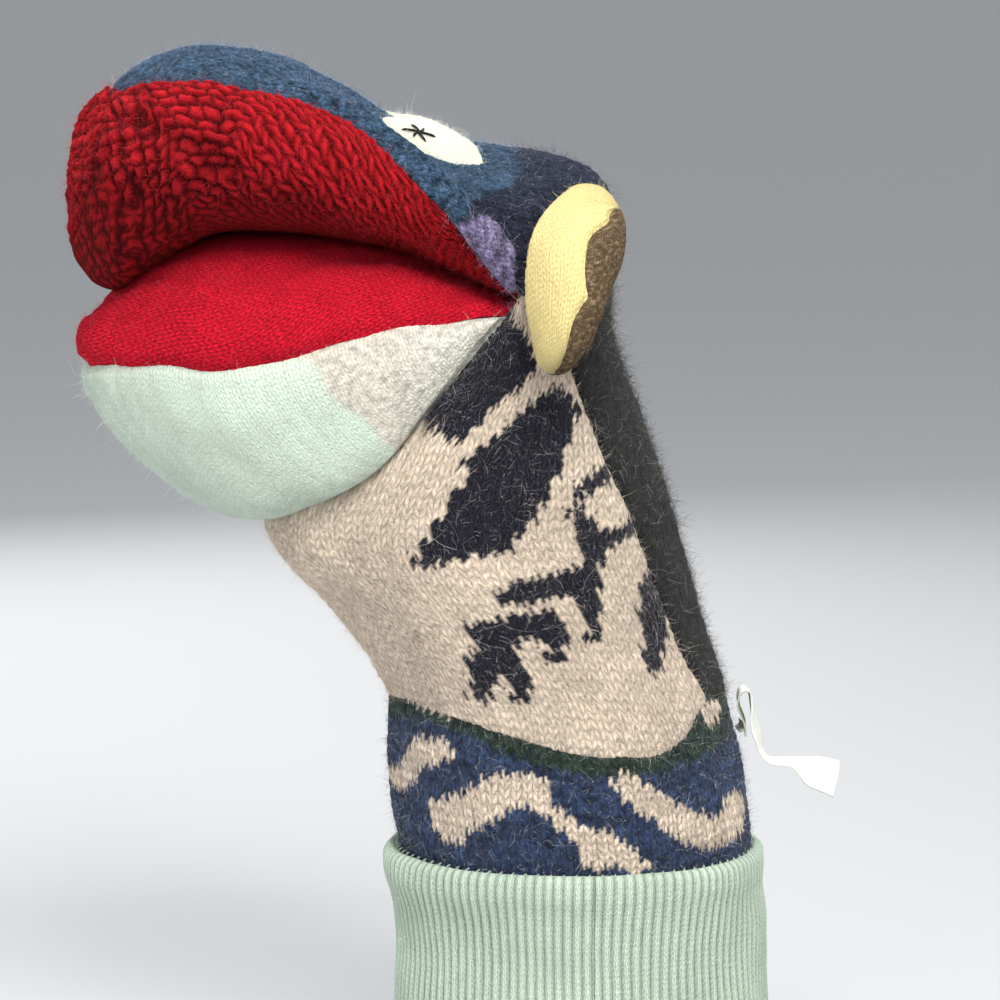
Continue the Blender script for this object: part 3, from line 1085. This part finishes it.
# ---- threads --------------------------------------------------------------------------------------------------------
def threads(name, paths, radius, colour, sides=8):
    """One object of round threads along several paths; colour is linear RGB."""
    points, faces, around = [], [], []
    for path in paths:
        path = np.asarray(path, float)
        way = np.gradient(path, axis=0)
        way /= np.linalg.norm(way, axis=1, keepdims=True)
        guide = np.array([0.31, 0.52, 0.79])
        first = len(points)
        for k, (p, d) in enumerate(zip(path, way)):
            side = np.cross(d, guide)
            side /= np.linalg.norm(side)
            up = np.cross(d, side)
            thin = radius * (0.45 if k in (0, len(path) - 1) else 1.0)
            for j in range(sides):
                t = 2 * math.pi * j / sides
                points.append(p + thin * (math.cos(t) * side + math.sin(t) * up))
                around.append((j / sides * 2 * math.pi * radius, k * 0.5))
            if k:
                a, b = first + (k - 1) * sides, first + k * sides
                faces += [(a + j, a + (j + 1) % sides, b + (j + 1) % sides, b + j) for j in range(sides)]
        faces.append(tuple(range(first, first + sides))[::-1])
        faces.append(tuple(range(len(points) - sides, len(points))))
    mesh = bpy.data.meshes.new(name)
    mesh.from_pydata([tuple(p * MM) for p in points], [], faces)
    mesh.shade_smooth()
    paint(mesh, np.array(around)[[v for f in faces for v in f]], colour, 1.0)
    return add(name, mesh)


def yarn(name):
    return wool(name, 0.8, 0.9, 0.12, 0.3, 0.2, 0.3, 0.1)


def arc(start, end, lift, count=9):
    """Stitch from start to end, lifted in the middle by a vector."""
    t = np.linspace(0, 1, count)[:, None]
    return np.asarray(start) * (1 - t) + np.asarray(end) * t + np.asarray(lift) * (np.sin(math.pi * t) ** 0.7)


# ---- eyes -----------------------------------------------------------------------------------------------------------
def felt_eye(side):
    name = "left" if side > 0 else "right"
    centre, normal = EYE_CENTRE * [side, 1, 1], EYE_NORMAL * [side, 1, 1]
    normal = normal / np.linalg.norm(normal)
    forward = np.array([0, -normal[2], normal[1]])
    forward /= np.linalg.norm(forward)
    across = np.cross(normal, forward) * side

    def spot(u, v, w):
        """Point u forward, v towards the outside and w above the felt's middle plane."""
        return centre + u[..., None] * forward + v[..., None] * across + w[..., None] * normal

    r, t = np.meshgrid(np.linspace(0, 1, 46), np.linspace(0, 2 * math.pi, 150, endpoint=False), indexing="ij")
    rim = 1 + 0.03 * np.sin(3 * t + 0.7) + 0.015 * np.sin(7 * t)
    sag = 0.012
    radius = np.minimum(r * 1.18, 1.0)
    edge = np.clip((r - 0.85) / 0.15, 0, 1)
    u, v = 15.2 * rim * radius * np.cos(t), 11.4 * rim * radius * np.sin(t)
    high = 2.5 - 3.4 * edge**1.6 - sag * (v * 0.9) ** 2 - 0.004 * u**2
    grid = spot(u, v, high)
    rough = 0.28 * lumps(grid, 2.4, 3.0, 3) + 0.35 * lumps(grid, 9, 5.0)
    grid = grid + normal * rough[..., None] * (radius > 0)[..., None]
    tint = WHITE * (1 + 0.05 * lumps(grid, 1.4, 6.0, 2)[..., None]) * (1 - 0.12 * edge[..., None])
    obj = mesh_piece(f"felt_eye_{name}", grid, np.stack([u, v], -1), tint, closed=True)
    way = np.broadcast_to(normal, grid.shape)
    face_outward(obj, grid[5:35], way[5:35])
    cloth = wool(f"white_felt_{name}", 1.0, 1.0, 0.18, 1.3, 0.05, 0.08, 0.3, kind="none")
    finish(obj, cloth, "white_felt", f"eye_{name}")
    bend = ("head", "snout", *SNOUT_BEND)
    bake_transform(obj)
    fibres(obj, grid[3:], way[3:], "white_felt", bending(*bend), (420, "white", 1.6, 0.7, 0.045, 17))
    cross = []
    for angle, reach in ((6, 4.6), (64, 3.0), (122, 3.7)):
        turn = math.radians(angle)
        along = np.linspace(-1, 1, 11)
        pu = 2.6 + reach * along * math.cos(turn) + 0.25 * np.sin(along * 4)
        pv = -2.6 + reach * along * math.sin(turn)
        pw = 2.75 - sag * (pv * 0.9) ** 2 - 0.004 * pu**2 + 0.35 * (1 - along**4)
        cross.append(spot(pu, pv, pw))
    stitches = threads(f"cross_{name}", cross, 0.34, (0.016, 0.016, 0.014))
    finish(stitches, yarn(f"black_thread_{name}"), "black_thread", f"eye_{name}_stitches")
    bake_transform(stitches)


felt_eye(1)
felt_eye(-1)


# ---- ears -----------------------------------------------------------------------------------------------------------
EAR_LOW, EAR_HIGH, EAR_SWEEP = np.array([49.5, -13.7, 202.8]), np.array([42.7, -6.2, 238.4]), 0.22
# By latitude: longitude of the seam between yellow and tweed, and the thickness in front of and behind the middle.
ear_seam_track = track((-90, -10), (-62, -18), (-45, -19), (-31, -17), (-20, -9), (-15, -5), (-8.5, -9), (0, -13),
                       (10, -15), (24, -11), (31, 0), (36, 8), (43, 13), (48, 32), (51.5, 65), (56, 95),
                       (62, 106), (90, 110))
ear_front_track = track((-90, 0), (-82, 2.2), (-70, 4.4), (-50, 7.0), (-33, 9.6), (-12, 12.6), (10.5, 13.4),
                        (27.5, 12.2), (43, 9.8), (58, 6.8), (72, 4.4), (82, 2.3), (90, 0))
ear_back_track = track((-90, 0), (-82, 1.2), (-70, 2.6), (-50, 4.2), (-33, 5.8), (-12, 7.4), (10.5, 9.7),
                       (27.5, 10.0), (43, 8.8), (58, 5.9), (72, 3.4), (82, 1.7), (90, 0))


def stuffed_ear(side):
    name = "left" if side > 0 else "right"
    flip = np.array([side, 1, 1])
    up = (EAR_HIGH - EAR_LOW) / np.linalg.norm(EAR_HIGH - EAR_LOW)
    out = np.array([1, EAR_SWEEP, 0])
    out = out - up * out.dot(up)
    out /= np.linalg.norm(out)
    back = np.cross(up, out)
    middle = (EAR_LOW + EAR_HIGH) / 2 - 2.6 * up + 0.7 * out

    def spot(lat, lon):
        """Point of the ear at latitude lat and longitude lon, in degrees: 0 faces outward and +90 the back."""
        la, lo = np.radians(lat), np.radians(lon)
        c = np.cos(la) ** 0.86
        turn = np.cos(lo)
        o = 12.8 + np.where(turn > 0, 18.0 * c, np.minimum(11.7, 18.0 * c)) * turn
        taper = np.where(turn > 0, 1.0, 1 - 0.55 * np.abs(turn) ** 1.3)
        thick = 0.95 * np.where(lo < 0, ear_front_track(lat)[..., 0], ear_back_track(lat)[..., 0])
        b = thick * power(np.sin(lo), 0.9) * taper
        room = np.maximum(o, 0)  # thin near the root, so that it clears the head as it flops
        limit = np.where(lo < 0, 0.3 + 0.4 * room + 0.036 * room**2, 0.8 + 0.8 * room)
        b = np.sign(b) * np.minimum(np.abs(b), limit)
        p = middle + o[..., None] * out + (23.9 * np.sin(la))[..., None] * up + b[..., None] * back
        return p * flip

    centre = (middle + 13 * out) * flip
    for part in ("front", "back"):
        lat, v = np.meshgrid(np.linspace(-90, 90, 130), np.linspace(0, 1, 84 if part == "front" else 70), indexing="ij")
        seam = ear_seam_track(lat)[..., 0]
        lon = -180 + (seam + 180) * v if part == "front" else seam + (180 - seam) * v
        grid = spot(lat, lon)
        normals = grid_normals(grid, centre)
        from_seam = np.linalg.norm(grid - grid[:, -1:] if part == "front" else grid - grid[:, :1], axis=-1)
        u = np.radians(lon) * 13.5
        w = lat * 0.42
        if part == "front":
            knit = stitch_height(w + 0.25 * u, u, 1.9, 1.5)
            tint = YELLOW * (0.9 + 0.12 * knit[..., None]) * (1 + 0.05 * lumps(grid, 8, 2.0)[..., None])
            cloth = wool(f"yellow_knit_{name}", 1.9, 1.5, 0.22, 0.6, 0.1, 0.16, 0.2, (1, 0.9, 0.6))
            slot = "yellow_knit"
        else:
            knit = np.clip(0.5 + lumps(grid, 0.85, 4.0, 2), 0, 1)
            light = np.clip(lumps(grid, 0.7, 9.0, 2) * 1.6, -0.7, 2.2)
            tint = mix(TWEED, np.array([0.42, 0.31, 0.20]), np.clip(light, 0, 1)) * (0.75 + 0.45 * knit[..., None])
            cloth = wool(f"brown_tweed_{name}", 1.3, 1.1, 0.35, 1.2, 0.45, 0.45, 0.1, (1, 0.85, 0.7))
            slot = "brown_tweed"
        rise = 0.22 * knit + 0.55 * lumps(grid, 14, 5.0)
        rise = rise * np.sin(math.pi * np.clip((lat + 90) / 180, 0.02, 0.98)) ** 0.3
        tuck = 0.9 * (1 - smooth(from_seam / 1.8)) if part == "front" else 1.0 * (1 - smooth(from_seam / 2.2)) - 0.25
        grid = grid + normals * (rise - tuck)[..., None]
        pile = np.clip(0.5 + knit * 0.5, 0, 1)
        obj = mesh_piece(f"ear_{name}_{part}_cloth", grid, np.stack([u, w], -1), tint, pile, normals=normals)
        finish(obj, cloth, slot, f"ear_{name}_{part}")
        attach(obj, f"ear_{name}")
        kind = (70, "gold") if part == "front" else (80, "brown")
        fibres(obj, grid, normals, slot, riding(f"ear_{name}"), (*kind, 1.2, 0.6, 0.055, 16, np.abs(lon) < 135))

    lat, lon = np.meshgrid(np.linspace(-90, 90, 26), np.linspace(-180, 180, 36, endpoint=False), indexing="ij")
    grid = spot(lat, lon)
    grid = centre + 0.8 * out * flip + (grid - centre) * 0.78
    obj = mesh_piece(f"ear_{name}_stuffing", grid, np.stack([lon * 0.2, lat * 0.4], -1), WADDING, closed=True)
    face_outward(obj, grid, grid - centre)
    cloth = wool(f"ear_filling_{name}", 1.2, 1.2, 0.5, 1.5, 0.1, 0.15, 0.2, kind="none")
    finish(obj, cloth, "filling", f"ear_{name}_filling")
    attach(obj, f"ear_{name}")

    whip, count = [], 14
    for k in range(count):
        t = (k + 0.5) / count
        root = (EAR_LOW * (1 - t) + EAR_HIGH * t) * flip
        way = out * flip
        for rear in (-back * flip, back * flip):
            whip.append(arc(root - way * 0.8 + rear * 1.1, root + way * 0.7 + up * flip * 0.6 + rear * 1.5, rear * 0.3))
    obj = threads(f"ear_{name}_whip", whip, 0.24, (0.55, 0.46, 0.26))
    finish(obj, yarn(f"ear_thread_{name}"), "seam_thread", f"ear_{name}_stitches")
    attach(obj, f"ear_{name}")


stuffed_ear(1)
stuffed_ear(-1)


# ---- label ----------------------------------------------------------------------------------------------------------
def label():
    """Folded ribbon sewn at the hem's back, with a twisted free end."""
    # Rows of (length along, y, z, twist in degrees).
    path = track((0, 44.7, 95.7, 7), (5, 43.9, 100.0, 7), (9.5, 42.9, 104.6, 7), (12.2, 43.3, 107.2, 4),
                 (15.2, 45.1, 107.6, 0),
                 (21, 46.2, 102.2, -9), (28, 48.0, 95.6, -17), (33, 48.9, 91.2, -12), (36.8, 51.0, 88.8, -3),
                 (42, 55.8, 87.5, -3),
                 (50, 62.4, 85.6, -38), (58, 69.4, 83.4, -56))
    half_width, t = 5.4, np.linspace(0, 58, 120)
    data = path(t)
    line = np.stack([0 * t, data[:, 0], data[:, 1]], -1)
    way = np.gradient(line, axis=0)
    way /= np.linalg.norm(way, axis=1, keepdims=True)
    normal = np.cross(np.array([1.0, 0, 0]), way)
    twist = np.radians(data[:, 2])[:, None]
    wide = np.cos(twist) * np.array([1.0, 0, 0]) + np.sin(twist) * normal
    face = np.cross(way, wide)
    w = np.linspace(-1, 1, 15)
    sheet = line[:, None] + wide[:, None] * (w[None, :, None] * half_width)
    cup = 0.35 * np.sin(t * 0.55)[:, None] * w[None, :] ** 2
    cup = cup + 0.5 * smooth((t - 43) / 12)[:, None] * w[None, :] ** 2 * 2.2
    sheet = sheet + face[:, None] * cup[..., None]
    half_thick = face[:, None] * 0.22
    ring = np.concatenate([sheet + half_thick, (sheet - half_thick)[:, ::-1]], 1)
    inner = np.zeros(ring.shape[:2])  # 1 on the loop's shaded inside
    inner[:, slice(0, 15) if face[20, 1] > 0 else slice(15, 30)] = smooth((19 - t) / 3)[:, None]
    tint = mix(np.array([0.80, 0.81, 0.73]), np.array([0.22, 0.27, 0.11]), inner)
    ends = [ring[k : k + 1].mean(1, keepdims=True).repeat(30, 1) for k in (0, len(ring) - 1)]
    ring = np.concatenate([ends[0], ring, ends[1]], 0)
    tint = np.concatenate([tint[:1], tint, tint[-1:]], 0)
    places = np.concatenate([t[:1], t, t[-1:]])
    fabric = np.stack(np.broadcast_arrays(np.concatenate([w, w[::-1]])[None] * half_width, places[:, None]), -1)
    obj = mesh_piece("ribbon", ring, fabric, tint, closed=True)
    finish(obj, wool("white_ribbon", 0.7, 0.5, 0.06, 0.12, 0.05, 0.12, 0.15), "white_ribbon", "label_ribbon")
    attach(obj, "label")


label()

small = [arc((-4.4 + 1.45 * k, 42.5, 96.6), (-3.9 + 1.45 * k, 43.5, 98.8), (0, 0.8, 0)) for k in range(7)]
ties = threads("label_tie", small, 0.28, (0.62, 0.60, 0.52))
finish(ties, yarn("label_thread"), "seam_thread", "label_stitches")
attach(ties, "head")

turns = np.linspace(0, 2 * math.pi, 91)[:-1]
running = []
for t in turns:
    low = np.array([46.9 * math.cos(t), 46.9 * math.sin(t), 65.8])
    high = np.array([46.6 * math.cos(t + 0.045), 46.6 * math.sin(t + 0.045), 68.0])
    running.append(arc(low, high, np.array([math.cos(t), math.sin(t), 0]) * 0.6, 6))
obj = threads("cuff_seam_stitches", running, 0.3, (0.45, 0.55, 0.45))
finish(obj, yarn("cuff_thread"), "seam_thread", "cuff_seam_thread")
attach(obj, "sleeve")

x = np.linspace(-45.5, 45.5, 240)
strands = [np.stack([x, FOLD[0] + 0.75 * np.cos(x * 1.3 + p), FOLD[1] + 0.75 * np.sin(x * 1.3 + p)], -1)
           for p in (0, math.pi)]
obj = threads("mouth_fold_cord", strands, 0.85, (0.20, 0.006, 0.010))
finish(obj, yarn("fold_thread"), "seam_thread", "mouth_fold_seam")
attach(obj, "head")


# ---- pockets and stuffing -------------------------------------------------------------------------------------------
def tube(start, end, wide, high, inset, rows=40, columns=64):
    """Rows of a pocket from its mouth to its round closed end, drawn in by inset."""
    start, end = np.array(start), np.array(end)
    way = (end - start) / np.linalg.norm(end - start)
    up = np.array([-way[1], way[0]])
    length = np.linalg.norm(end - start) - inset
    t, a = np.meshgrid(np.linspace(0, 1, rows), np.linspace(0, 2 * math.pi, columns, endpoint=False), indexing="ij")
    close = high / 2
    turn = np.clip((t - 0.6) / 0.4, 0, 1) * math.pi / 2
    place = np.where(t < 0.6, t / 0.6 * (length - close), length - close + close * np.sin(turn))
    shrink = np.where(t < 0.6, 1.0, np.cos(turn))
    side = np.where(shrink < 1, (wide / 2 - inset) - close * (1 - shrink), wide / 2 - inset)
    x = side * power(np.cos(a), 0.8)
    z = (high / 2 - inset) * shrink * power(np.sin(a), 0.8)
    yz = start + place[..., None] * way + z[..., None] * up
    return np.concatenate([x[..., None], yz], -1)


def double_wall(name, outer, inner, tint, cloth, slot, node, body, is_padded):
    grid = np.concatenate([outer, inner[::-1], outer[:1]], 0)
    rows, columns = grid.shape[:2]
    fabric = np.stack(np.meshgrid(np.arange(columns) * 1.6, np.arange(rows) * 1.8), -1)
    obj = mesh_piece(name, grid, fabric, tint * (1 + 0.05 * lumps(grid, 6, 2.0)[..., None]), closed=True)
    outward = outer - outer.mean(1, keepdims=True)
    face_outward(obj, outer[2:-8], outward[2:-8])
    finish(obj, cloth, slot, node)
    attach(obj, body)


FINGER, THUMB = ((-24, 233.8), (-109, 256), 68, 17), ((-36, 201), (-92, 201), 27, 27)
jersey = wool("pocket_jersey", 1.4, 1.1, 0.15, 0.3, 0.1, 0.2, 0.1)
wadding = wool("filling", 1.2, 1.2, 0.8, 1.5, 0.08, 0.12, 0.2, kind="none")
for name, body, room in (("finger_pocket", "snout", FINGER), ("thumb_pocket", "jaw", THUMB)):
    walls = tube(*room, 0.0), tube(*room, 1.2)
    double_wall(name + "_jersey", *walls, JERSEY, jersey, "pocket_jersey", name, body, False)


def stuffing(point, rows, inset, room, name, body, node):
    """Padding between a jaw's skin and its pocket."""
    q, b = np.meshgrid(rows, np.linspace(0, 2 * math.pi, 64, endpoint=False), indexing="ij")
    skin = point(q, np.where(b > math.pi, b - 2 * math.pi, b))
    centre = skin.mean(1, keepdims=True)
    away = skin - centre
    size = np.linalg.norm(away, axis=-1, keepdims=True)
    outer = centre + away * np.clip(1 - inset / np.maximum(size, 0.1), 0, 1)
    if body == "jaw":  # clear of the throat when the mouth opens
        least = np.interp(outer[..., 1], [-108, -103, -98, -80, -74], [150, 167, 183.5, 186, 187])
        outer[..., 2] = np.maximum(outer[..., 2], least)
    tip = outer[:1].mean(1, keepdims=True).repeat(64, 1)
    outer = np.concatenate([tip, outer], 0)[::-1]
    inner = tube(*room, -0.4)
    keep = inner[..., 1].min(1) < rows.max()
    double_wall(name, outer, inner[keep], WADDING, wadding, "filling", node, body, True)


upper_rows = np.concatenate([np.linspace(-124.5, -115, 10), np.linspace(-112, -40, 30)])
lower_rows = np.concatenate([np.linspace(-121, -111, 10), np.linspace(-108, -76, 26)])
stuffing(head_point, upper_rows, 3.4, FINGER, "upper_stuffing", "snout", "upper_jaw_filling")
stuffing(jaw_point, lower_rows, 4.2, THUMB, "lower_stuffing", "jaw", "lower_jaw_filling")
